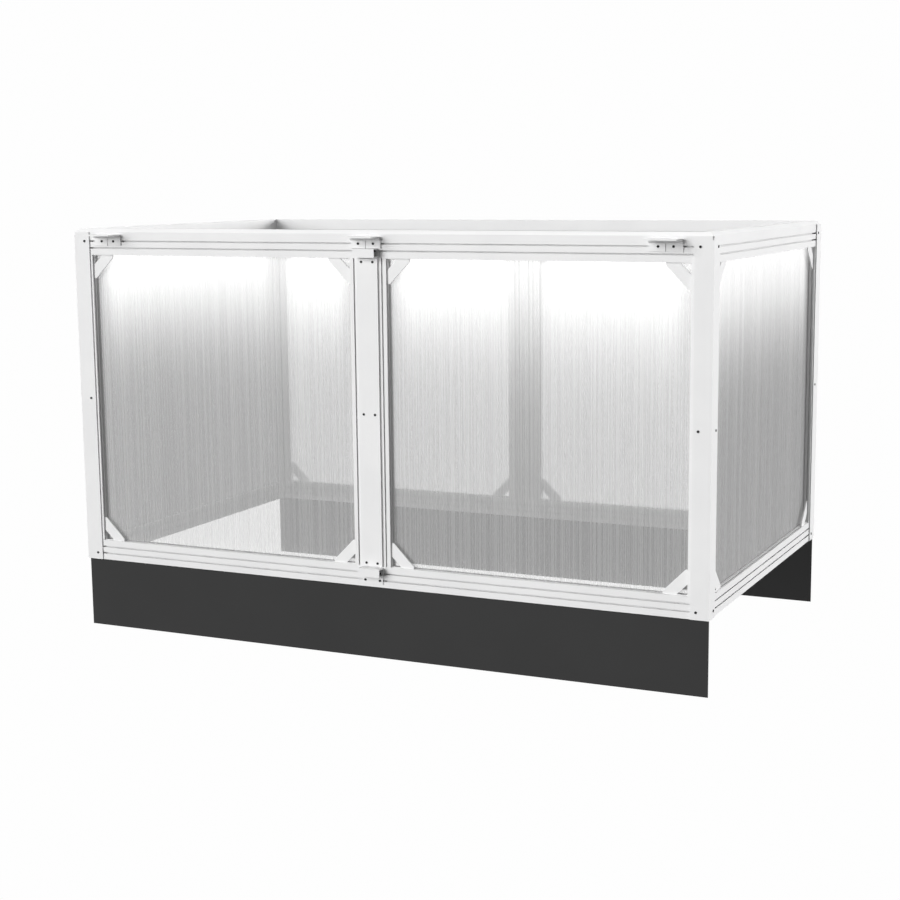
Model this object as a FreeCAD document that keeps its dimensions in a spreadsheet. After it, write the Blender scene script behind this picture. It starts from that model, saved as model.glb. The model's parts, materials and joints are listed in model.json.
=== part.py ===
import FreeCAD, Part
import os
import Sketcher
from FreeCAD import Placement, Rotation, Vector

# Cold frame: six glazed panels of slotted aluminium profile, joined by four angle posts, standing on two
# sheet skirts. The origin is the centre of the overall box on the ground, +X along the front, +Y to the rear.

OUTPUT = "parts"
os.makedirs(OUTPUT, exist_ok=True)
doc = FreeCAD.newDocument("cold_frame")

SIZES_MM = {
    # overall
    "frame_width": 1500,
    "frame_depth": 866,
    "post_height": 755,
    "skirt_drop": 158,
    # corner posts
    "post_leg": 40,
    "post_wall": 2.5,
    "post_screw_inset": 27.5,
    "relief_width": 3,
    "relief_depth": 7,
    # slotted profile of rails and stiles
    "rail_height": 46,
    "stile_width": 43,
    "profile_depth": 24,
    "wall": 3,
    "slot_pitch": 15.3,
    "slot_mouth": 3.2,
    "slot_lip": 1.8,
    "slot_chamber": 7,
    "slot_depth": 7,
    "stile_slot_inset": 10,
    "slot_web": 0.5,
    "cover_screw_inset": 13.4,
    "lid_seat_rise": 4.9,
    "lid_seat_bevel": 7.5,
    "skirt_slot_depth": 8,
    "skirt_setback": 2.5,
    # glazing
    "glazing_slot_depth": 10,
    "sheet_thickness": 6,
    "sheet_seat": 8,
    "seal_thickness": 0.9,
    "seal_seat": 8,
    # corner gussets
    "gusset_thickness": 3,
    "gusset_setback": 3.8,
    "gusset_leg": 53,
    "gusset_toe": 6,
    "gusset_tongue": 4.5,
    "gusset_hole_leg": 22,
    "gusset_hole_margin": 1.5,
    "gusset_slot_depth": 5,
    # mullion cover, joint plates and saddles
    "cover_width": 49,
    "cover_thickness": 4,
    "cover_end_inset": 7,
    "joint_plate_width": 49,
    "joint_plate_height": 15,
    "joint_plate_thickness": 2.5,
    "joint_screw_pitch": 35.4,
    "saddle_width": 51,
    "saddle_height": 18,
    "saddle_reach": 21,
    "saddle_wall": 2,
    "saddle_shift": 4,
    # lid hinges
    "hinge_inset": 94,
    "hinge_width": 70,
    "hinge_shift": 3,
    "hinge_drop": 9,
    "hinge_plate_drop": 21,
    "hinge_leaf_thickness": 2.5,
    "hinge_leaf_reach": 42.2,
    "hinge_slit": 1.5,
    "hinge_screw_pitch": 31.4,
    "knuckle_radius": 4,
    "knuckle_gap": 0.4,
    "pin_radius": 1.5,
    "lid_hole_radius": 2.15,
    "lid_hole_pitch": 35,
    "lid_hole_reach": 24,
    # skirt
    "skirt_thickness": 3,
    "skirt_end_inset": 2,
    # screws and slot nuts
    "screw_radius": 1.5,
    "screw_head_radius": 2.6,
    "screw_head_height": 1.2,
    "screw_socket_radius": 1.1,
    "screw_reach": 6.5,
    "nut_length": 10,
    "nut_thickness": 4,
    # clearances
    "fit_gap": 0.1,
    "running_gap": 0.06,
    "hole_gap": 0.15,
    "swing_gap": 0.3,
    "cut_margin": 1,
}

sheet = doc.addObject("Spreadsheet::Sheet", "Sizes")
for row, (alias, number) in enumerate(SIZES_MM.items(), start=1):
    sheet.set("A%d" % row, alias.replace("_", " "))
    sheet.set("B%d" % row, str(number))
    sheet.setAlias("B%d" % row, alias)
doc.recompute()


class Size:
    """A length that carries its number and the spreadsheet expression it comes from."""

    def __init__(self, number, text):
        self.number = number
        self.text = text

    def __add__(self, other):
        other = as_size(other)
        return Size(self.number + other.number, "(%s + %s)" % (self.text, other.text))

    def __sub__(self, other):
        other = as_size(other)
        return Size(self.number - other.number, "(%s - %s)" % (self.text, other.text))

    def __mul__(self, factor):
        return Size(self.number * factor, "(%s * %s)" % (self.text, factor))

    def __truediv__(self, factor):
        return Size(self.number / factor, "(%s / %s)" % (self.text, factor))

    def __neg__(self):
        return self * -1


def as_size(value):
    return value if isinstance(value, Size) else Size(value, str(value))


def named(alias):
    return Size(float(sheet.get(alias)), "Sizes." + alias)


# ---- sizes worked out from the driving ones ----

width = named("frame_width")
depth = named("frame_depth")
post_height = named("post_height")
post_wall = named("post_wall")
rail_height = named("rail_height")
stile_width = named("stile_width")
profile_depth = named("profile_depth")
wall = named("wall")
slot_pitch = named("slot_pitch")
fit_gap = named("fit_gap")
margin = named("cut_margin")
zero = Size(0, "0")

knuckle_radius = named("knuckle_radius")
leaf_thickness = named("hinge_leaf_thickness")
pin_setback = knuckle_radius + named("swing_gap")
leaf_front = named("hinge_leaf_reach") + pin_setback - post_wall
front_y = (leaf_front - depth - (named("cover_thickness") - post_wall + named("screw_head_height"))) / 2
rear_y = front_y + depth
ground_z = named("skirt_drop")

top_rail_line = post_height - named("lid_seat_rise")
opening_low = rail_height
opening_high = top_rail_line - rail_height
seal_room = named("seal_thickness") + fit_gap
sheet_back = profile_depth - wall - seal_room
sheet_front = sheet_back - named("sheet_thickness")
front_bay = width / 2 - post_wall
end_bay = depth - post_wall * 2
low_slot_z = slot_pitch
high_slot_z = top_rail_line - slot_pitch
hinge_z = post_height - named("hinge_drop")

# Each wall is seen from outside: s runs to the right, d runs inwards. quarter is its turn about Z.
WALLS = {
    "front": {"quarter": 0, "x": post_wall - width / 2, "y": front_y + post_wall},
    "right": {"quarter": 1, "x": width / 2 - post_wall, "y": front_y + post_wall},
    "rear": {"quarter": 2, "x": width / 2 - post_wall, "y": rear_y - post_wall},
    "left": {"quarter": 3, "x": post_wall - width / 2, "y": rear_y - post_wall},
}

BAYS = [
    {"name": "front_left", "wall": "front", "start": zero, "length": front_bay, "corners": (True, False)},
    {"name": "front_right", "wall": "front", "start": front_bay, "length": front_bay, "corners": (False, True)},
    {"name": "right_end", "wall": "right", "start": zero, "length": end_bay, "corners": (True, True)},
    {"name": "rear_right", "wall": "rear", "start": zero, "length": front_bay, "corners": (True, False)},
    {"name": "rear_left", "wall": "rear", "start": front_bay, "length": front_bay, "corners": (False, True)},
    {"name": "left_end", "wall": "left", "start": zero, "length": end_bay, "corners": (True, True)},
]

nodes = {}


def keep(name, piece):
    piece.Label = name
    nodes[name] = piece
    return piece


def bind(piece, **sizes):
    for name, size in sizes.items():
        piece.setExpression(name.replace("__", "."), as_size(size).text)
    return piece


def turned(quarter, s, d):
    return [(s, d), (-d, s), (-s, -d), (d, -s)][quarter]


def wall_point(wall_name, s, d, z):
    spot = WALLS[wall_name]
    along, across = turned(spot["quarter"], as_size(s), as_size(d))
    return spot["x"] + along, spot["y"] + across, ground_z + z


def place(piece, wall_name, s, d, z):
    """Turns the piece to its wall and ties its corner to the sheet."""
    x, y, height = wall_point(wall_name, s, d, z)
    piece.Placement = Placement(Vector(0, 0, 0), Rotation(90 * WALLS[wall_name]["quarter"], 0, 0))
    bind(piece, Placement__Base__x=x, Placement__Base__y=y, Placement__Base__z=height)
    return piece


def fixed_place(wall_name, s, d, z):
    x, y, height = wall_point(wall_name, s, d, z)
    turn = Rotation(90 * WALLS[wall_name]["quarter"], 0, 0)
    return Placement(Vector(x.number, y.number, height.number), turn)


# ---- sketching and part-design helpers ----


def origin_plane(body, role):
    return next(item for item in body.Origin.OriginFeatures if item.Role == role)


def new_sketch(body, role, name):
    sketch = body.newObject("Sketcher::SketchObject", name)
    sketch.AttachmentSupport = (origin_plane(body, role), [""])
    sketch.MapMode = "FlatFace"
    return sketch


def draw_outline(sketch, corners):
    """Closed outline through corners, each corner dimensioned from the sketch origin."""
    corners = [(as_size(x), as_size(y)) for x, y in corners]
    first = sketch.GeometryCount
    count = len(corners)
    for index, (x, y) in enumerate(corners):
        next_x, next_y = corners[(index + 1) % count]
        start = Vector(x.number, y.number, 0)
        end = Vector(next_x.number, next_y.number, 0)
        sketch.addGeometry(Part.LineSegment(start, end), False)
    for index in range(count):
        following = first + (index + 1) % count
        sketch.addConstraint(Sketcher.Constraint("Coincident", first + index, 2, following, 1))
    for index, (x, y) in enumerate(corners):
        for kind, size in (("DistanceX", x), ("DistanceY", y)):
            number = sketch.addConstraint(Sketcher.Constraint(kind, first + index, 1, size.number))
            sketch.setExpression("Constraints[%d]" % number, size.text)


def draw_circle(sketch, x, y, radius):
    x, y, radius = as_size(x), as_size(y), as_size(radius)
    centre = Vector(x.number, y.number, 0)
    circle = sketch.addGeometry(Part.Circle(centre, Vector(0, 0, 1), radius.number), False)
    for kind, size in (("DistanceX", x), ("DistanceY", y)):
        number = sketch.addConstraint(Sketcher.Constraint(kind, circle, 3, size.number))
        sketch.setExpression("Constraints[%d]" % number, size.text)
    number = sketch.addConstraint(Sketcher.Constraint("Radius", circle, radius.number))
    sketch.setExpression("Constraints[%d]" % number, radius.text)


def pad(body, sketch, length):
    feature = body.newObject("PartDesign::Pad", "Pad")
    feature.Profile = sketch
    bind(feature, Length=length)
    sketch.Visibility = False
    return feature


def through_cut(body, sketch):
    feature = body.newObject("PartDesign::Pocket", "Pocket")
    feature.Profile = sketch
    feature.Type = "ThroughAll"
    feature.Midplane = True
    sketch.Visibility = False
    return feature


def box(name, length, width_y, height):
    return bind(doc.addObject("Part::Box", name), Length=length, Width=width_y, Height=height)


def at(piece, x, y, z):
    return bind(piece, Placement__Base__x=x, Placement__Base__y=y, Placement__Base__z=z)


def cylinder(name, radius, length, axis):
    piece = bind(doc.addObject("Part::Cylinder", name), Radius=radius, Height=length)
    piece.Placement = Placement(Vector(0, 0, 0), Rotation(Vector(0, 0, 1), axis))
    return piece


def fused(name, pieces):
    union = doc.addObject("Part::MultiFuse", name)
    union.Shapes = pieces
    union.Refine = True
    return union


def cut(name, base, tools):
    tool = tools[0] if len(tools) == 1 else fused(name + "_tools", tools)
    difference = doc.addObject("Part::Cut", name)
    difference.Base = base
    difference.Tool = tool
    return difference


def group(name, shapes):
    """Separate identical solids kept together in one node."""
    piece = doc.addObject("Part::Feature", name)
    piece.Shape = Part.makeCompound(shapes)
    return keep(name, piece)


# ---- slotted profile ----


chamber_front = named("slot_depth") + wall / 2
chamber_back = profile_depth - chamber_front


def tee_slot(centre):
    """Outline of one undercut slot in the outer face, from left to right across the mouth."""
    mouth = named("slot_mouth") / 2
    chamber = named("slot_chamber") / 2
    lip = named("slot_lip")
    bottom = named("slot_depth")
    return [
        (centre - mouth, zero),
        (centre - mouth, lip),
        (centre - chamber, lip),
        (centre - chamber, bottom),
        (centre + chamber, bottom),
        (centre + chamber, lip),
        (centre + mouth, lip),
        (centre + mouth, zero),
    ]


def inner_edge(edge):
    """Outline of the edge that faces the opening: gusset slot, then glazing slot."""
    gusset_front = named("gusset_setback") - fit_gap
    gusset_back = named("gusset_setback") + named("gusset_thickness") + fit_gap
    gusset_bottom = edge - named("gusset_slot_depth")
    glazing_bottom = edge - named("glazing_slot_depth")
    return [
        (edge, zero),
        (edge, gusset_front),
        (gusset_bottom, gusset_front),
        (gusset_bottom, gusset_back),
        (edge, gusset_back),
        (edge, sheet_front - seal_room),
        (glazing_bottom, sheet_front - seal_room),
        (glazing_bottom, sheet_back + seal_room),
        (edge, sheet_back + seal_room),
        (edge, profile_depth),
    ]


def back_slots(centres):
    """Outline of the slots in the face that looks into the frame; centres run back towards the start."""
    return [(u, profile_depth - across) for centre in centres for u, across in reversed(tee_slot(centre))]


def skirt_slot():
    front = named("skirt_setback")
    back = front + named("skirt_thickness") + fit_gap * 2
    top = named("skirt_slot_depth")
    return [(zero, back), (top, back), (top, front), (zero, front)]


def hollow(start, end, slope):
    """Closed chamber between the slots; slope pushes its far side in beside a mitre."""
    return [(start, chamber_front), (end, chamber_front), (end, chamber_back), (start + slope, chamber_back)]


def make_rail(bay, level):
    """Rail over the whole panel width, mitred where it meets the next wall at a corner post."""
    body = doc.addObject("PartDesign::Body", "%s_%s_rail" % (bay["name"], level))
    section = new_sketch(body, "YZ_Plane", "Section")
    upwards = level == "bottom"
    outline = tee_slot(slot_pitch) + tee_slot(slot_pitch * 2) + inner_edge(rail_height)
    outline += back_slots((slot_pitch * 2, slot_pitch))
    if upwards:
        has_skirt = bay["wall"] in ("front", "rear")
        outline = [(zero, zero)] + outline + [(zero, profile_depth)] + (skirt_slot() if has_skirt else [])
        chamber = hollow(skirt_chamber_start(has_skirt), rail_height - named("glazing_slot_depth") - wall, zero)
        corners = [(across, u) for u, across in outline]
        inside = [(across, u) for u, across in chamber]
    else:
        rise = named("lid_seat_rise")
        crest = rise + named("lid_seat_bevel")
        outline = [(-rise, zero)] + outline + [(-crest, profile_depth), (-crest, named("lid_seat_bevel"))]
        chamber = hollow(wall - crest, rail_height - named("glazing_slot_depth") - wall, zero)
        corners = [(across, -u) for u, across in outline]
        inside = [(across, -u) for u, across in chamber]
    draw_outline(section, corners)
    draw_outline(section, inside)
    length = bay["length"] - fit_gap * (not bay["corners"][0]) - fit_gap * (not bay["corners"][1])
    pad(body, section, length)
    mitre_ends(body, bay, length)
    start = bay["start"] + fit_gap * (not bay["corners"][0])
    base = zero if upwards else top_rail_line
    place(body, bay["wall"], start, zero, base)
    return keep("%s_%s_rail" % (bay["name"], level), body)


def skirt_chamber_start(has_skirt):
    return named("skirt_slot_depth") + wall if has_skirt else wall


def mitre_ends(body, bay, length):
    """Cuts the back of the rail away at 45 degrees at each corner of the frame."""
    reach = profile_depth + margin
    starts, ends = bay["corners"]
    plan = new_sketch(body, "XY_Plane", "Mitres")
    if starts:
        draw_outline(
            plan,
            [(-margin, -margin), (fit_gap - margin, -margin), (fit_gap + reach, reach), (-margin, reach)],
        )
    if ends:
        outer = length + margin
        draw_outline(
            plan,
            [
                (outer, -margin),
                (outer - fit_gap, -margin),
                (length - fit_gap - reach, reach),
                (outer, reach),
            ],
        )
    through_cut(body, plan)


def corner_back_slot(glazing_bottom):
    """Slot midway between a corner stile's mitre and its glazing slot, left out where it has no room."""
    mitre_side = profile_depth - named("slot_lip") + fit_gap
    needed = named("slot_chamber") + named("slot_web") * 2
    if (glazing_bottom - mitre_side).number < needed.number:
        return []
    return back_slots([(mitre_side + glazing_bottom) / 2])


def make_stile(bay, side):
    """Upright between the rails; at a corner post its outer edge is mitred along its height."""
    at_corner = bay["corners"][0 if side == "left" else 1]
    body = doc.addObject("PartDesign::Body", "%s_%s_stile" % (bay["name"], side))
    section = new_sketch(body, "XY_Plane", "Section")
    glazing_bottom = stile_width - named("glazing_slot_depth")
    if at_corner:
        screw_line = named("post_screw_inset") - post_wall
        outline = [(fit_gap, zero)] + tee_slot(screw_line) + inner_edge(stile_width)
        outline += corner_back_slot(glazing_bottom) + [(profile_depth + fit_gap, profile_depth)]
        run = chamber_back - chamber_front
        start = chamber_front + wall * 1.5
        chamber = hollow(start, glazing_bottom - wall, run)
    else:
        inner_slot = stile_width - named("stile_slot_inset")
        outline = [(fit_gap, zero)] + tee_slot(named("cover_screw_inset")) + tee_slot(inner_slot)
        outline += inner_edge(stile_width)
        cover_slot_side = named("cover_screw_inset") + named("slot_chamber") / 2
        outline += back_slots(((cover_slot_side + glazing_bottom) / 2, named("cover_screw_inset")))
        outline += [(fit_gap, profile_depth)]
        chamber = hollow(wall, glazing_bottom - wall, zero)
    if side == "left":
        draw_outline(section, outline)
        draw_outline(section, chamber)
        edge = bay["start"]
    else:
        draw_outline(section, [(-u, across) for u, across in outline])
        draw_outline(section, [(-u, across) for u, across in chamber])
        edge = bay["start"] + bay["length"]
    pad(body, section, opening_high - opening_low - fit_gap * 2)
    place(body, bay["wall"], edge, zero, opening_low + fit_gap)
    return keep("%s_%s_stile" % (bay["name"], side), body)


# ---- corner posts ----


def make_post(name, wall_name):
    """Angle of folded sheet over a corner, screwed to both walls, with a relief slit at its top fold."""
    leg = named("post_leg")
    body = doc.addObject("PartDesign::Body", name)
    section = new_sketch(body, "XY_Plane", "Section")
    draw_outline(
        section,
        [(zero, zero), (leg, zero), (leg, post_wall), (post_wall, post_wall), (post_wall, leg), (zero, leg)],
    )
    pad(body, section, post_height)
    relief = new_sketch(body, "XY_Plane", "Relief")
    relief.setExpression("AttachmentOffset.Base.z", post_height.text)
    side = named("relief_width")
    draw_outline(relief, [(-margin, -margin), (side, -margin), (side, side), (-margin, side)])
    slit = body.newObject("PartDesign::Pocket", "ReliefSlit")
    slit.Profile = relief
    bind(slit, Length=named("relief_depth"))
    for role in ("XZ_Plane", "YZ_Plane"):
        holes = new_sketch(body, role, "Holes")
        for height in POST_SCREW_HEIGHTS:
            draw_circle(holes, named("post_screw_inset"), height, named("screw_radius") + named("hole_gap"))
        drilled = body.newObject("PartDesign::Pocket", "Drilled")
        drilled.Profile = holes
        drilled.Midplane = True
        bind(drilled, Length=post_wall * 4)
    place(body, wall_name, -post_wall, -post_wall, zero)
    return keep(name, body)


POST_SCREW_HEIGHTS = (low_slot_z, post_height / 2, high_slot_z)

for post_name, post_corner in (
    ("post_front_left", "front"),
    ("post_front_right", "right"),
    ("post_rear_right", "rear"),
    ("post_rear_left", "left"),
):
    make_post(post_name, post_corner)

for bay in BAYS:
    make_rail(bay, "top")
    make_rail(bay, "bottom")
    make_stile(bay, "left")
    make_stile(bay, "right")


# ---- glazing sheets and their seals ----


def make_sheet(bay):
    seat = named("sheet_seat")
    span = bay["length"] - stile_width * 2 + seat * 2
    name = bay["name"] + "_glazing"
    piece = box(name, span, named("sheet_thickness"), opening_high - opening_low + seat * 2)
    place(piece, bay["wall"], bay["start"] + stile_width - seat, sheet_front, opening_low - seat)
    return keep(name, piece)


def seal_ring(bay, setback):
    """Flat gasket frame between the sheet and one wall of the glazing slot."""
    seat = named("seal_seat").number
    thickness = named("seal_thickness").number
    span = (bay["length"] - stile_width * 2).number
    rise = (opening_high - opening_low).number
    outer = Part.makeBox(span + 2 * seat, thickness, rise + 2 * seat, Vector(-seat, 0, -seat))
    inner = Part.makeBox(span, 3 * thickness, rise, Vector(0, -thickness, 0))
    ring = outer.cut(inner)
    ring.Placement = fixed_place(bay["wall"], bay["start"] + stile_width, setback, opening_low)
    return ring


for bay in BAYS:
    make_sheet(bay)

seal_gap = fit_gap / 2
front_seal = sheet_front - seal_gap - named("seal_thickness")
rear_seal = sheet_back + seal_gap
group("glazing_seals", [seal_ring(bay, setback) for bay in BAYS for setback in (front_seal, rear_seal)])


# ---- corner gussets ----


def gusset_pattern():
    """One corner plate in the wall plane, its right angle at the corner of the opening."""
    tongue = named("gusset_tongue")
    leg = named("gusset_leg")
    toe = named("gusset_toe")
    near = named("gusset_hole_margin")
    far = near + named("gusset_hole_leg")
    body = doc.addObject("PartDesign::Body", "gusset_pattern")
    face = new_sketch(body, "XZ_Plane", "Face")
    draw_outline(face, [(-tongue, -tongue), (leg, -tongue), (leg, toe), (toe, leg), (-tongue, leg)])
    draw_outline(face, [(near, near), (far, near), (near, far)])
    pad(body, face, named("gusset_thickness"))
    doc.recompute()
    return body.Shape.copy()


gusset_shape = gusset_pattern()


def make_gussets(bay):
    """Four gussets, one in each corner, in the slots of the edges that face the opening."""
    left = bay["start"] + stile_width
    right = bay["start"] + bay["length"] - stile_width
    back = named("gusset_setback") + named("gusset_thickness")
    spots = ((left, opening_low, 0), (right, opening_low, -90), (right, opening_high, 180), (left, opening_high, 90))
    shapes = []
    for s, z, angle in spots:
        piece = gusset_shape.copy()
        in_wall = Placement(Vector(0, 0, 0), Rotation(Vector(0, 1, 0), angle))
        piece.Placement = fixed_place(bay["wall"], s, back, z).multiply(in_wall)
        shapes.append(piece)
    return group(bay["name"] + "_gussets", shapes)


for bay in BAYS:
    make_gussets(bay)


# ---- mullion covers, joint plates and saddles ----


def plate_with_holes(name, plate_width, height, thickness, holes):
    """Flat plate on the face of a wall; holes are given from its lower left corner."""
    body = doc.addObject("PartDesign::Body", name)
    face = new_sketch(body, "XZ_Plane", "Face")
    draw_outline(face, [(zero, zero), (plate_width, zero), (plate_width, height), (zero, height)])
    for x, z in holes:
        draw_circle(face, x, z, named("screw_radius") + named("hole_gap"))
    pad(body, face, thickness)
    return body


cover_height = opening_high - opening_low - fit_gap * 2
cover_middle = cover_height / 2
cover_screw_rows = (named("cover_end_inset"), cover_middle, cover_height - named("cover_end_inset"))
cover_columns = (-named("cover_screw_inset"), named("cover_screw_inset"))
half_cover = named("cover_width") / 2

for wall_name in ("front", "rear"):
    name = wall_name + "_mullion_cover"
    holes = [(half_cover + column, row) for column in cover_columns for row in cover_screw_rows]
    cover = plate_with_holes(name, named("cover_width"), cover_height, named("cover_thickness"), holes)
    place(cover, wall_name, front_bay - half_cover, zero, opening_low + fit_gap)
    keep(name, cover)

half_joint = named("joint_plate_width") / 2
joint_columns = (-named("joint_screw_pitch") / 2, named("joint_screw_pitch") / 2)
JOINT_PLATES = (("front", low_slot_z), ("rear", low_slot_z), ("rear", high_slot_z))


def joint_plate_shape():
    height = named("joint_plate_height")
    holes = [(half_joint + column, height / 2) for column in joint_columns]
    thickness = named("joint_plate_thickness")
    body = plate_with_holes("joint_plate_pattern", named("joint_plate_width"), height, thickness, holes)
    doc.recompute()
    return body.Shape.copy()


def make_joint_plates():
    pattern = joint_plate_shape()
    shapes = []
    for wall_name, slot_z in JOINT_PLATES:
        piece = pattern.copy()
        low_edge = slot_z - named("joint_plate_height") / 2
        piece.Placement = fixed_place(wall_name, front_bay - half_joint, zero, low_edge)
        shapes.append(piece)
    return group("joint_plates", shapes)


make_joint_plates()

saddle_wall = named("saddle_wall")
SADDLES = (
    ("saddle_top", high_slot_z - slot_pitch, -named("saddle_shift")),
    ("saddle_bottom", low_slot_z + slot_pitch, named("saddle_shift")),
)


def make_saddle(name, slot_z, shift):
    """Short open-ended box section standing out from the mullion."""
    reach = named("saddle_reach")
    height = named("saddle_height")
    span = named("saddle_width")
    low = -height / 2 + shift
    outer = at(box(name + "_outer", span, reach, height), -span / 2, -reach, low)
    inner = box(name + "_inner", span + margin * 2, reach - saddle_wall * 2, height - saddle_wall * 2)
    at(inner, -span / 2 - margin, saddle_wall - reach, low + saddle_wall)
    tools = [inner]
    for index, column in enumerate(joint_columns):
        radius = named("screw_radius") + named("hole_gap")
        hole = cylinder("%s_hole_%d" % (name, index), radius, saddle_wall + margin * 2, Vector(0, 1, 0))
        tools.append(at(hole, column, -saddle_wall - margin, zero))
    tube = cut(name, outer, tools)
    place(tube, "front", front_bay, zero, slot_z)
    return keep(name, tube)


for saddle_name, slot_z, shift in SADDLES:
    make_saddle(saddle_name, slot_z, shift)


# ---- lid hinges ----

hinge_width = named("hinge_width")
segment = hinge_width / 5
knuckle_gap = named("knuckle_gap")
bore_radius = named("pin_radius") + named("running_gap")
hinge_screw_columns = (-named("hinge_screw_pitch") / 2, named("hinge_screw_pitch") / 2)
hinge_inset = named("hinge_inset") - post_wall
hinge_shift = named("hinge_shift")
HINGES = {
    "left": {"middle": hinge_inset - hinge_shift, "screws": hinge_screw_columns},
    "middle": {"middle": front_bay - hinge_shift, "screws": joint_columns},
    "right": {"middle": front_bay * 2 - hinge_inset - hinge_shift, "screws": hinge_screw_columns},
}


def segment_start(index):
    return segment * index - hinge_width / 2


def knuckles(name, indexes, arm):
    """Barrels on every other fifth of the hinge, each with the arm that ties it to its leaf."""
    pieces = []
    for index in indexes:
        start = segment_start(index) + fit_gap
        length = segment - fit_gap * 2
        barrel = cylinder("%s_barrel_%d" % (name, index), knuckle_radius, length, Vector(1, 0, 0))
        pieces.append(at(barrel, start, zero, zero))
        pieces.append(arm("%s_arm_%d" % (name, index), start, length))
    return pieces


def pin_bore(name):
    hole = cylinder(name + "_bore", bore_radius, hinge_width + margin * 2, Vector(1, 0, 0))
    return at(hole, -hinge_width / 2 - margin, zero, zero)


def make_fixed_leaf(place_name, s, screw_columns):
    """Slit plate on the rail face, hanging from three knuckles of the pin line."""
    name = "hinge_plate_" + place_name
    drop = named("hinge_plate_drop")
    back = pin_setback
    top = knuckle_radius + knuckle_gap
    plate = box(name + "_plate", hinge_width, leaf_thickness, drop - top)
    at(plate, -hinge_width / 2, back - leaf_thickness, -drop)

    def arm(arm_name, start, length):
        piece = box(arm_name, length, leaf_thickness, top + margin)
        return at(piece, start, back - leaf_thickness, -top - margin)

    solid = fused(name + "_solid", [plate] + knuckles(name, (0, 2, 4), arm))
    slit = box(name + "_slit", named("hinge_slit"), leaf_thickness + margin * 2, drop - top)
    at(slit, -named("hinge_slit") / 2, back - leaf_thickness - margin, -drop - margin)
    tools = [pin_bore(name), slit]
    for index, column in enumerate(screw_columns):
        radius = named("screw_radius") + named("hole_gap")
        hole = cylinder("%s_hole_%d" % (name, index), radius, leaf_thickness + margin * 2, Vector(0, 1, 0))
        tools.append(at(hole, column, back - leaf_thickness - margin, high_slot_z - hinge_z))
    leaf = cut(name, solid, tools)
    place(leaf, "front", s, -back, hinge_z)
    return keep(name, leaf)


def make_lid_leaf(place_name, s):
    """Leaf that the lid is screwed to; it stands straight out and swings on the pin."""
    name = "lid_leaf_" + place_name
    reach = named("hinge_leaf_reach")
    inner = knuckle_radius + knuckle_gap
    under = knuckle_radius - leaf_thickness
    plate = at(box(name + "_plate", hinge_width, reach - inner, leaf_thickness), -hinge_width / 2, -reach, under)

    def arm(arm_name, start, length):
        return at(box(arm_name, length, inner + margin, leaf_thickness), start, -inner - margin, under)

    solid = fused(name + "_solid", [plate] + knuckles(name, (1, 3), arm))
    tools = [pin_bore(name)]
    for index, side in enumerate((-1, 1)):
        radius = named("lid_hole_radius")
        hole = cylinder("%s_hole_%d" % (name, index), radius, leaf_thickness + margin * 2, Vector(0, 0, 1))
        tools.append(at(hole, named("lid_hole_pitch") / 2 * side, -named("lid_hole_reach"), under - margin))
    leaf = cut(name, solid, tools)
    place(leaf, "front", s, -pin_setback, hinge_z)
    return keep(name, leaf)


pins = []
for place_name, hinge in HINGES.items():
    s = hinge["middle"]
    make_fixed_leaf(place_name, s, hinge["screws"])
    make_lid_leaf(place_name, s)
    pin = cylinder("pin_" + place_name, named("pin_radius"), hinge_width, Vector(1, 0, 0))
    x, y, z = wall_point("front", s - hinge_width / 2, -pin_setback, hinge_z)
    pins.append(at(pin, x, y, z))
pin_set = doc.addObject("Part::Compound", "hinge_pins")
pin_set.Links = pins
keep("hinge_pins", pin_set)


# ---- skirts ----

def make_skirt(wall_name):
    """Sheet board under a long wall; its tongue sits in the rail's slot and stops short of the mitres."""
    inset = named("skirt_end_inset") - post_wall
    span = front_bay * 2 - inset * 2
    drop = named("skirt_drop")
    shoulder = drop - fit_gap
    crest = drop + named("skirt_slot_depth") - fit_gap
    mitre_reach = named("skirt_setback") + named("skirt_thickness") + fit_gap * 4
    notch = mitre_reach - inset
    body = doc.addObject("PartDesign::Body", wall_name + "_skirt")
    face = new_sketch(body, "XZ_Plane", "Face")
    draw_outline(
        face,
        [
            (zero, zero),
            (span, zero),
            (span, shoulder),
            (span - notch, shoulder),
            (span - notch, crest),
            (notch, crest),
            (notch, shoulder),
            (zero, shoulder),
        ],
    )
    pad(body, face, named("skirt_thickness"))
    back = named("skirt_setback") + fit_gap + named("skirt_thickness")
    place(body, wall_name, inset, back, -drop)
    return keep(wall_name + "_skirt", body)


for wall_name in ("front", "rear"):
    make_skirt(wall_name)


# ---- screws and slot nuts ----


def screw_shape(seat):
    """Pan-head screw along +Y, with the underside of its head at the origin plane."""
    head_radius = named("screw_head_radius").number
    head_height = named("screw_head_height").number
    shank = named("screw_radius").number
    length = (seat + named("screw_reach")).number
    inwards = Vector(0, 1, 0)
    head = Part.makeCylinder(head_radius, head_height, Vector(0, -head_height, 0), inwards)
    body = head.fuse(Part.makeCylinder(shank, length, Vector(0, 0, 0), inwards))
    socket_radius = named("screw_socket_radius").number
    socket = Part.makeCylinder(socket_radius, head_height / 2, Vector(0, -head_height, 0), inwards)
    return body.cut(socket).removeSplitter()


def nut_shape(upright):
    """Block that slides in the slot chamber behind the lips, with the screw's hole through it."""
    across = (named("slot_chamber") - fit_gap * 2).number
    along = named("nut_length").number
    thickness = named("nut_thickness").number
    length, height = (across, along) if upright else (along, across)
    block = Part.makeBox(length, thickness, height, Vector(-length / 2, 0, -height / 2))
    hole_radius = (named("screw_radius") + named("running_gap")).number
    hole = Part.makeCylinder(hole_radius, 3 * thickness, Vector(0, -thickness, 0), Vector(0, 1, 0))
    return block.cut(hole)


def screws_at(spots, seat):
    pattern = screw_shape(seat)
    shapes = []
    for wall_name, s, z, upright in spots:
        piece = pattern.copy()
        piece.Placement = fixed_place(wall_name, s, -seat, z)
        shapes.append(piece)
    return shapes


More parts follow.
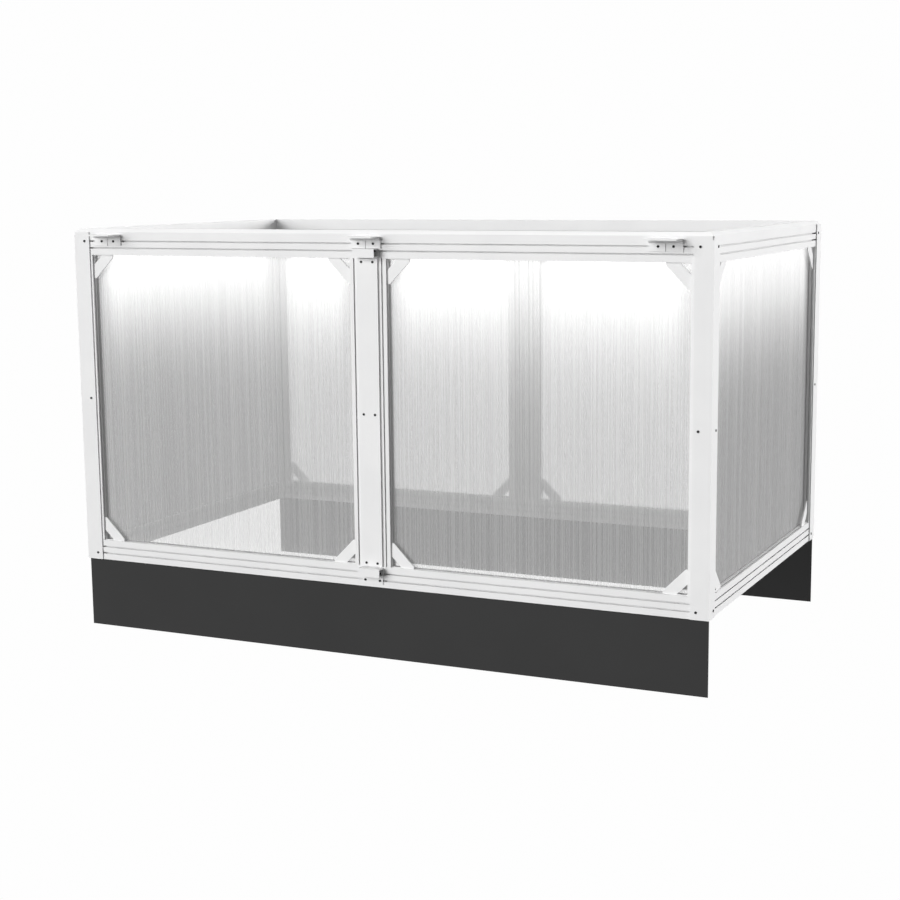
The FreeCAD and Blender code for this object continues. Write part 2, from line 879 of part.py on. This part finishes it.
def nuts_at(spots):
    patterns = {upright: nut_shape(upright) for upright in (True, False)}
    shapes = []
    for wall_name, s, z, upright in spots:
        piece = patterns[upright].copy()
        piece.Placement = fixed_place(wall_name, s, named("slot_lip") + fit_gap / 2, z)
        shapes.append(piece)
    return shapes


wall_lengths = {"front": front_bay * 2, "right": end_bay, "rear": front_bay * 2, "left": end_bay}
post_line = named("post_screw_inset") - post_wall
post_spots = [
    (wall_name, s, z, z is POST_SCREW_HEIGHTS[1])
    for wall_name, length in wall_lengths.items()
    for s in (post_line, length - post_line)
    for z in POST_SCREW_HEIGHTS
]
cover_spots = [
    (wall_name, front_bay + column, opening_low + fit_gap + row, True)
    for wall_name in ("front", "rear")
    for column in cover_columns
    for row in cover_screw_rows
]
joint_spots = [
    (wall_name, front_bay + column, slot_z, False) for wall_name, slot_z in JOINT_PLATES for column in joint_columns
]
saddle_spots = [
    ("front", front_bay + column, slot_z, False) for _, slot_z, _ in SADDLES for column in joint_columns
]
hinge_spots = [
    ("front", hinge["middle"] + column, high_slot_z, False) for hinge in HINGES.values() for column in hinge["screws"]
]

group("post_screws", screws_at(post_spots, post_wall))
group("hinge_screws", screws_at(hinge_spots, leaf_thickness))
mullion_screws = screws_at(cover_spots, named("cover_thickness"))
mullion_screws += screws_at(joint_spots, named("joint_plate_thickness"))
mullion_screws += screws_at(saddle_spots, saddle_wall)
group("mullion_screws", mullion_screws)
group("slot_nuts", nuts_at(post_spots + cover_spots + joint_spots + saddle_spots + hinge_spots))


# ---- check and write ----

doc.recompute()
failed = [item.Name for item in doc.Objects if "Invalid" in item.State or "Error" in item.State]
failed += [name for name, piece in nodes.items() if piece.Shape.isNull() or not piece.Shape.isValid()]
if failed:
    raise RuntimeError("failed: " + ", ".join(failed))

for name, piece in nodes.items():
    piece.Shape.exportStep(os.path.join(OUTPUT, name + ".step"))
print("%d nodes, %d solids" % (len(nodes), sum(len(piece.Shape.Solids) for piece in nodes.values())))
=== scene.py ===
import json
from math import cos, radians, sin

import bpy
import numpy as np
from mathutils import Matrix, Vector


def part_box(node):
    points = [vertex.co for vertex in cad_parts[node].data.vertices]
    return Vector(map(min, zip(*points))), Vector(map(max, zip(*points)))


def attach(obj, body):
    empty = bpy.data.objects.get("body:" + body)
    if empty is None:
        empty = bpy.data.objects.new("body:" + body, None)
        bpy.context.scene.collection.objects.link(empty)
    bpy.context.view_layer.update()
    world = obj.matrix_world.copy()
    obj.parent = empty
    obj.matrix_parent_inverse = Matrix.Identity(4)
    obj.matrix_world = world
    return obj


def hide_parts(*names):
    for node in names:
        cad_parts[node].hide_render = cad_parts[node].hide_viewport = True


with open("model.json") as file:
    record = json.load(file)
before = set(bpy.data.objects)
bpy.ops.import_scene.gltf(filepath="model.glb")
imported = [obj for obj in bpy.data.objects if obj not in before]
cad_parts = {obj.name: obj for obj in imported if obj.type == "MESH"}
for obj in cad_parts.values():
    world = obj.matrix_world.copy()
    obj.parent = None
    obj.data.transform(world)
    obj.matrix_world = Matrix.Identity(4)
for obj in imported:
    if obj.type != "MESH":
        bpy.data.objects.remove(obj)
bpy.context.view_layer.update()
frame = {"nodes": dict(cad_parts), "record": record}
nodes = frame["nodes"]
scene = bpy.context.scene
print("frame loaded:", len(nodes), "nodes")

camera = {
    "place": (1.7033, -3.5939, 1.0260),  # metres, in the frame of the object
    "yaw": -24.807,                      # degrees from +Y, to the right
    "pitch": 9.340,                      # degrees below level
    "roll": -0.479,                      # degrees
    "lens": 68.57,                       # mm, on a sensor 36 mm wide
    "sensor": 36.0,
    "shift": (-0.0220, 0.0112),
}


def makeCamera():
    yaw, pitch, roll = (radians(camera[key]) for key in ("yaw", "pitch", "roll"))
    ahead = Vector((sin(yaw) * cos(pitch), cos(yaw) * cos(pitch), -sin(pitch)))
    level = Vector((cos(yaw), -sin(yaw), 0))
    rise = level.cross(ahead)
    right = cos(roll) * level + sin(roll) * rise
    up = cos(roll) * rise - sin(roll) * level
    data = bpy.data.cameras.new("camera")
    data.lens = camera["lens"]
    data.sensor_width = camera["sensor"]
    data.shift_x, data.shift_y = camera["shift"]
    data.clip_end = 100
    item = bpy.data.objects.new("camera", data)
    turn = Matrix((right, up, -ahead)).transposed().to_4x4()
    item.matrix_world = Matrix.Translation(camera["place"]) @ turn
    scene.collection.objects.link(item)
    scene.camera = item


makeCamera()
print("camera placed")


class Wire:
    # an output socket of a material; + - * / with numbers or other wires add Math nodes
    def __init__(self, recipe, socket):
        self.recipe = recipe
        self.socket = socket

    def math(self, operation, first, second):
        return self.recipe.node("ShaderNodeMath", {"operation": operation}, {0: first, 1: second})

    def __add__(self, other):
        return self.math("ADD", self, other)

    def __rsub__(self, other):
        return self.math("SUBTRACT", other, self)

    def __mul__(self, other):
        return self.math("MULTIPLY", self, other)

    def __truediv__(self, other):
        return self.math("DIVIDE", self, other)

    def __pow__(self, other):
        return self.math("POWER", self, other)

    __radd__ = __add__
    __rmul__ = __mul__


class Recipe:
    # a material being built, with one method that adds any node
    def __init__(self, name):
        self.material = bpy.data.materials.new(name)
        self.material.use_nodes = True
        self.tree = self.material.node_tree
        self.shader = self.tree.nodes["Principled BSDF"]
        self.place = self.node("ShaderNodeTexCoord", {}, {}, "Object")

    def node(self, kind, settings, values, output=0):
        made = self.tree.nodes.new(kind)
        for key, value in settings.items():
            setattr(made, key, value)
        self.feed(made, values)
        return Wire(self, made.outputs[output])

    def feed(self, made, values):
        for key, value in values.items():
            if isinstance(value, Wire):
                self.tree.links.new(value.socket, made.inputs[key])
            else:
                made.inputs[key].default_value = value

    def finish(self, values):
        self.feed(self.shader, values)
        return self.material

    def axis(self, name):
        return self.node("ShaderNodeSeparateXYZ", {}, {0: self.place}, name)

    def noise(self, scale, detail=2.0, stretch=(1, 1, 1)):
        spread = self.node("ShaderNodeMapping", {}, {"Vector": self.place, "Scale": stretch})
        values = {"Vector": spread, "Scale": scale, "Detail": detail}
        return self.node("ShaderNodeTexNoise", {}, values, "Fac")

    def between(self, amount, first, second):
        values = {0: amount, 6: (*first, 1), 7: (*second, 1)}
        return self.node("ShaderNodeMix", {"data_type": "RGBA"}, values, 2)

    def bump(self, height, distance, strength=0.5):
        return self.node("ShaderNodeBump", {}, {"Height": height, "Distance": distance, "Strength": strength})

    def smooth(self, value, low, high):
        values = {"Value": value, "From Min": low, "From Max": high}
        return self.node("ShaderNodeMapRange", {"interpolation_type": "SMOOTHSTEP"}, values)


coat = {
    "white": (0.815, 0.815, 0.815),
    "shade": (0.79, 0.79, 0.792),
    "roughness": 0.42,
    "patch": 9.0,             # cycles a metre of the slow change in shade
    "peel": 900.0,            # cycles a metre of the powder coat's orange peel
    "peelHeight": 0.00002,
    "roughnessSwing": 0.08,
    "gloss": 0.4,
}


def powderCoat(name, lift=0.0):
    recipe = Recipe(name)
    patches = recipe.noise(coat["patch"], 3)
    peel = recipe.noise(coat["peel"], 1)
    light = tuple(part + lift for part in coat["white"])
    dark = tuple(part + lift for part in coat["shade"])
    return recipe.finish({
        "Base Color": recipe.between(recipe.smooth(patches, 0.35, 0.65), light, dark),
        "Roughness": coat["roughness"] + coat["roughnessSwing"] * peel,
        "Normal": recipe.bump(peel, coat["peelHeight"]),
        "Specular IOR Level": coat["gloss"],
    })


board = {
    "dark": (0.013, 0.013, 0.0132),
    "light": (0.017, 0.017, 0.0172),
    "lift": 0.016,            # stands for floor light that the dark coat throws back
    "grain": 420.0,           # cycles a metre
    "grainHeight": 0.00003,
    "grainShare": 0.4,        # of the change in shade, the rest being cloud
    "cloud": 5.0,             # cycles a metre
    "roughness": 0.62,
    "roughnessSwing": 0.1,
    "gloss": 0.12,
}


def skirtCoat():
    recipe = Recipe("skirtCoat")
    grain = recipe.noise(board["grain"])
    cloud = recipe.noise(board["cloud"])
    share = board["grainShare"]
    shade = recipe.smooth(cloud * (1 - share) + grain * share, 0.3, 0.7)
    return recipe.finish({
        "Base Color": recipe.between(shade, board["dark"], board["light"]),
        "Roughness": board["roughness"] + board["roughnessSwing"] * grain,
        "Normal": recipe.bump(grain, board["grainHeight"]),
        "Specular IOR Level": board["gloss"],
        "Emission Color": (1, 1, 1, 1),
        "Emission Strength": board["lift"],
    })


metal = {
    "dark": (0.025, 0.025, 0.026),
    "darkRoughness": 0.45,
    "bright": (0.6, 0.6, 0.6),
    "brightRoughness": 0.35,
    "lines": 1500.0,          # cycles a metre
    "lineHeight": 0.00001,
    "lineStrength": 0.4,
    "lineShade": 0.8,         # how dark the lines are beside the rest
    "roughnessSwing": 0.15,
}


def plainMetal(name, colour, roughness):
    recipe = Recipe(name)
    lines = recipe.noise(metal["lines"])
    darker = tuple(part * metal["lineShade"] for part in colour)
    return recipe.finish({
        "Base Color": recipe.between(lines, darker, colour),
        "Metallic": 1.0,
        "Roughness": roughness + metal["roughnessSwing"] * lines,
        "Normal": recipe.bump(lines, metal["lineHeight"], metal["lineStrength"]),
    })


rubber = {
    "dark": (0.16, 0.16, 0.16),
    "light": (0.24, 0.24, 0.24),
    "grain": 700.0,           # cycles a metre
    "grainHeight": 0.00003,
    "roughness": 0.7,
    "roughnessSwing": 0.1,
}


def gasket():
    recipe = Recipe("gasket")
    grain = recipe.noise(rubber["grain"])
    return recipe.finish({
        "Base Color": recipe.between(grain, rubber["dark"], rubber["light"]),
        "Roughness": rubber["roughness"] + rubber["roughnessSwing"] * grain,
        "Normal": recipe.bump(grain, rubber["grainHeight"]),
    })


sheet = {
    "pitch": 0.004,           # metres from one rib of the sheet to the next
    "sink": 0.00008,          # how far the skins draw in over each rib
    "sharpness": 8,           # the power that keeps the drawing-in close to the rib
    "steps": 4,               # points across one flute
    "ribThickness": 0.0005,
    "ribInset": 0.0004,       # from the skins to the ribs
    "skinAlpha": 0.265,
    "ribAlpha": 0.13,
    "tint": (0.88, 0.88, 0.88),
    "darkTint": (0.8184, 0.8184, 0.8184),
    "streak": (200, 200, 0.25),  # cycles a metre across the flutes and along them
    "ribbing": 0.14,          # swing in cover from flute to flute, in the long walls
    "endRibbing": 0.08,       # and in the end walls
    "paintedHaze": 0.13,             # painted light, even over the whole sheet, standing in for the light it scatters
    "paintedGlow": 0.73,             # painted glow: emission, brightest just under the open rim
    "glowReach": 0.17,        # metres down from the rim
    "glowSwing": 0.08,        # share of that depth which changes from flute to flute
    "glowSide": 0.06,         # metres over which the glow fades at each side
    "roughness": 0.25,
    "roughnessSwing": 0.1,
    "refraction": 1.58,
    "gloss": 0.3,
}


def sheetPlastic(name, alpha, low, high, alongX):
    # the painted glow falls off down the sheet as exp(-(depth / reach) ** 2)
    recipe = Recipe(name)
    recipe.material.use_transparent_shadow = False
    streaks = recipe.smooth(recipe.noise(1.0, 1, sheet["streak"]), 0.35, 0.65)
    swing = sheet["glowSwing"]
    depth = (high.z - recipe.axis("Z")) * (1 + swing / 2 - swing * streaks)
    power = -1 * (depth / sheet["glowReach"]) ** 2
    fall = recipe.node("ShaderNodeMath", {"operation": "EXPONENT"}, {0: power})
    across = recipe.axis("X" if alongX else "Y")
    start, end = (low.x, high.x) if alongX else (low.y, high.y)
    side = sheet["glowSide"]
    edges = recipe.smooth(across, start, start + side) * recipe.smooth(across, end, end - side)
    ribbing = sheet["ribbing"] if alongX else sheet["endRibbing"]
    return recipe.finish({
        "Base Color": recipe.between(streaks, sheet["darkTint"], sheet["tint"]),
        "Alpha": alpha * (1 - ribbing / 2 + ribbing * streaks),
        "Roughness": sheet["roughness"] + sheet["roughnessSwing"] * streaks,
        "IOR": sheet["refraction"],
        "Specular IOR Level": sheet["gloss"],
        # emission paints light onto the sheet: an even painted haze, plus a painted glow under the rim that
        # fades downwards and towards the sides
        "Emission Color": recipe.between(fall * edges, 3 * (sheet["paintedHaze"],), 3 * (sheet["paintedGlow"],)),
        "Emission Strength": 1.0,
    })


print("materials ready")


def stack(parts):
    # several (points, faces) pairs as one, with each pair's faces counted on from the last
    points, faces, offset = [], [], 0
    for somePoints, someFaces in parts:
        points.append(somePoints)
        faces.append(someFaces + offset)
        offset += len(somePoints)
    return np.concatenate(points), np.concatenate(faces)


def addMesh(name, points, faces, materials, chosen):
    mesh = bpy.data.meshes.new(name)
    mesh.from_pydata(points.tolist(), [], faces.tolist())
    for material in materials:
        mesh.materials.append(material)
    mesh.polygons.foreach_set("material_index", chosen.astype(np.int32))
    mesh.update()
    item = bpy.data.objects.new(name, mesh)
    scene.collection.objects.link(item)
    return item


def skins(width, thick, height):
    # across the sheet the skins follow sink * |cos(half a turn along each flute)| ** sharpness,
    # which dips over each rib
    flutes = max(1, round(width / sheet["pitch"]))
    along = np.linspace(0, width, flutes * sheet["steps"] + 1)
    dip = sheet["sink"] * np.abs(np.cos(np.pi * along * flutes / width)) ** sheet["sharpness"]
    count = len(along)
    front = np.stack([along, dip], 1)
    back = np.stack([along[::-1], thick - dip[::-1]], 1)
    loop = np.concatenate([front, back])
    low = np.column_stack([loop, np.zeros(len(loop))])
    high = np.column_stack([loop, np.full(len(loop), height)])
    here = np.arange(len(loop))
    after = np.roll(here, -1)
    walls = np.stack([here, after, after + len(loop), here + len(loop)], 1)
    column = np.arange(count - 1)
    mirror = len(loop) - 1 - column
    floorFaces = np.stack([column, mirror, mirror - 1, column + 1], 1)
    roofFaces = floorFaces[:, ::-1] + len(loop)
    return np.concatenate([low, high]), np.concatenate([walls, floorFaces, roofFaces])


def ribs(width, thick, height):
    # one thin upright box at each flute wall, worked out for all of them at once
    flutes = max(1, round(width / sheet["pitch"]))
    middles = np.linspace(0, width, flutes + 1)[1:-1]
    half, inset = sheet["ribThickness"] / 2, sheet["ribInset"]
    corners = np.array([(x, y, z) for z in (inset, height - inset) for x, y in (
        (-half, inset), (half, inset), (half, thick - inset), (-half, thick - inset))])
    points = (corners[None] + np.stack([middles, 0 * middles, 0 * middles], 1)[:, None]).reshape(-1, 3)
    sides = np.array([(0, 3, 2, 1), (4, 5, 6, 7), (0, 1, 5, 4), (1, 2, 6, 5), (2, 3, 7, 6), (3, 0, 4, 7)])
    faces = (sides[None] + 8 * np.arange(len(middles))[:, None, None]).reshape(-1, 4)
    return points, faces


def makeSheet(node):
    low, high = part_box(node)
    size = high - low
    alongX = size.x > size.y
    width, thick = (size.x, size.y) if alongX else (size.y, size.x)
    parts = [make(width, thick, size.z) for make in (skins, ribs)]
    points, faces = stack(parts)
    if not alongX:
        points = points[:, (1, 0, 2)]
        faces = faces[:, ::-1]
    points = points + np.array(low)
    chosen = np.repeat((0, 1), [len(part[1]) for part in parts])
    materials = [
        sheetPlastic(node + "_" + kind, sheet[kind + "Alpha"], low, high, alongX) for kind in ("skin", "rib")
    ]
    item = addMesh(node.replace("glazing", "fluted_sheet"), points, faces, materials, chosen)
    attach(item, "root")
    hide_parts(node)


for name in sorted(nodes):
    if name.endswith("_glazing"):
        makeSheet(name)
print("fluted sheets made")


finishes = {
    "frame": powderCoat("frameCoat"),
    "fittings": powderCoat("fittingCoat", 0.01),
    "skirt": skirtCoat(),
    "seals": gasket(),
    "screws": plainMetal("darkZinc", metal["dark"], metal["darkRoughness"]),
    "steel": plainMetal("brightZinc", metal["bright"], metal["brightRoughness"]),
    "glazing": None,
}

for part in frame["record"]["subparts"]:
    finish = finishes[part["material_slot"]]
    if finish:
        mesh = nodes[part["node"]].data
        mesh.materials.clear()
        mesh.materials.append(finish)
print("finishes given")


studio = {
    "ambient": 0.13,          # even light from all round, as radiance
    "room": 0.99,             # radiance of the floor and the dome over it
    "roomRadius": 40.0,       # metres
    "turns": 64,              # points round the dome
    "rises": 16,              # and up it
    "lamps": [
        {"name": "leftStrip", "from": (-0.5, -0.85, 0.25), "strength": 2.9, "angle": 40},
        {"name": "rightStrip", "from": (0.75, 0.65, 0.14), "strength": 3.1, "angle": 24},
        {"name": "topPanel", "from": (0.0, 0.0, 1.0), "strength": 1.2, "angle": 10},
    ],
}


def makeWorld():
    world = bpy.data.worlds.new("ambient")
    world.use_nodes = True
    background = world.node_tree.nodes["Background"]
    background.inputs["Color"].default_value = (1, 1, 1, 1)
    background.inputs["Strength"].default_value = studio["ambient"]
    scene.world = world


def makeRoom():
    # a pale floor that runs out into a pale dome, whose points are at
    # radius * (cos(rise) * cos(turn), cos(rise) * sin(turn), sin(rise))
    turns, rises = np.meshgrid(
        np.linspace(0, 2 * np.pi, studio["turns"], endpoint=False),
        np.linspace(0, np.pi / 2, studio["rises"], endpoint=False),
    )
    radius = studio["roomRadius"]
    out = radius * np.cos(rises)
    shell = np.stack([out * np.cos(turns), out * np.sin(turns), radius * np.sin(rises)], 2)
    rings, around = turns.shape
    points = np.concatenate([shell.reshape(-1, 3), [(0, 0, 0), (0, 0, radius)]])
    grid = np.arange(rings * around).reshape(rings, around)
    after = np.roll(grid, -1, 1)
    walls = np.stack([grid[:-1], grid[1:], after[1:], after[:-1]], 2).reshape(-1, 4)
    centre = np.full(around, rings * around)
    floorFaces = np.stack([grid[0], after[0], centre], 1)
    roofFaces = np.stack([after[-1], grid[-1], centre + 1], 1)
    recipe = Recipe("paleRoom")
    recipe.finish({
        "Base Color": (0, 0, 0, 1),
        "Specular IOR Level": 0.0,
        "Emission Color": (1, 1, 1, 1),
        "Emission Strength": studio["room"],
    })
    mesh = bpy.data.meshes.new("room")
    mesh.from_pydata(points.tolist(), [], walls.tolist() + floorFaces.tolist() + roofFaces.tolist())
    mesh.materials.append(recipe.material)
    room = bpy.data.objects.new("room", mesh)
    scene.collection.objects.link(room)
    room.visible_diffuse = False
    room.visible_shadow = False


def makeLamps():
    for lamp in studio["lamps"]:
        data = bpy.data.lights.new(lamp["name"], "SUN")
        data.energy = lamp["strength"]
        data.angle = radians(lamp["angle"])
        item = bpy.data.objects.new(lamp["name"], data)
        item.rotation_euler = Vector(lamp["from"]).to_track_quat("Z", "Y").to_euler()
        scene.collection.objects.link(item)


makeWorld()
makeRoom()
makeLamps()
scene.view_settings.view_transform = "Standard"
print("studio ready")
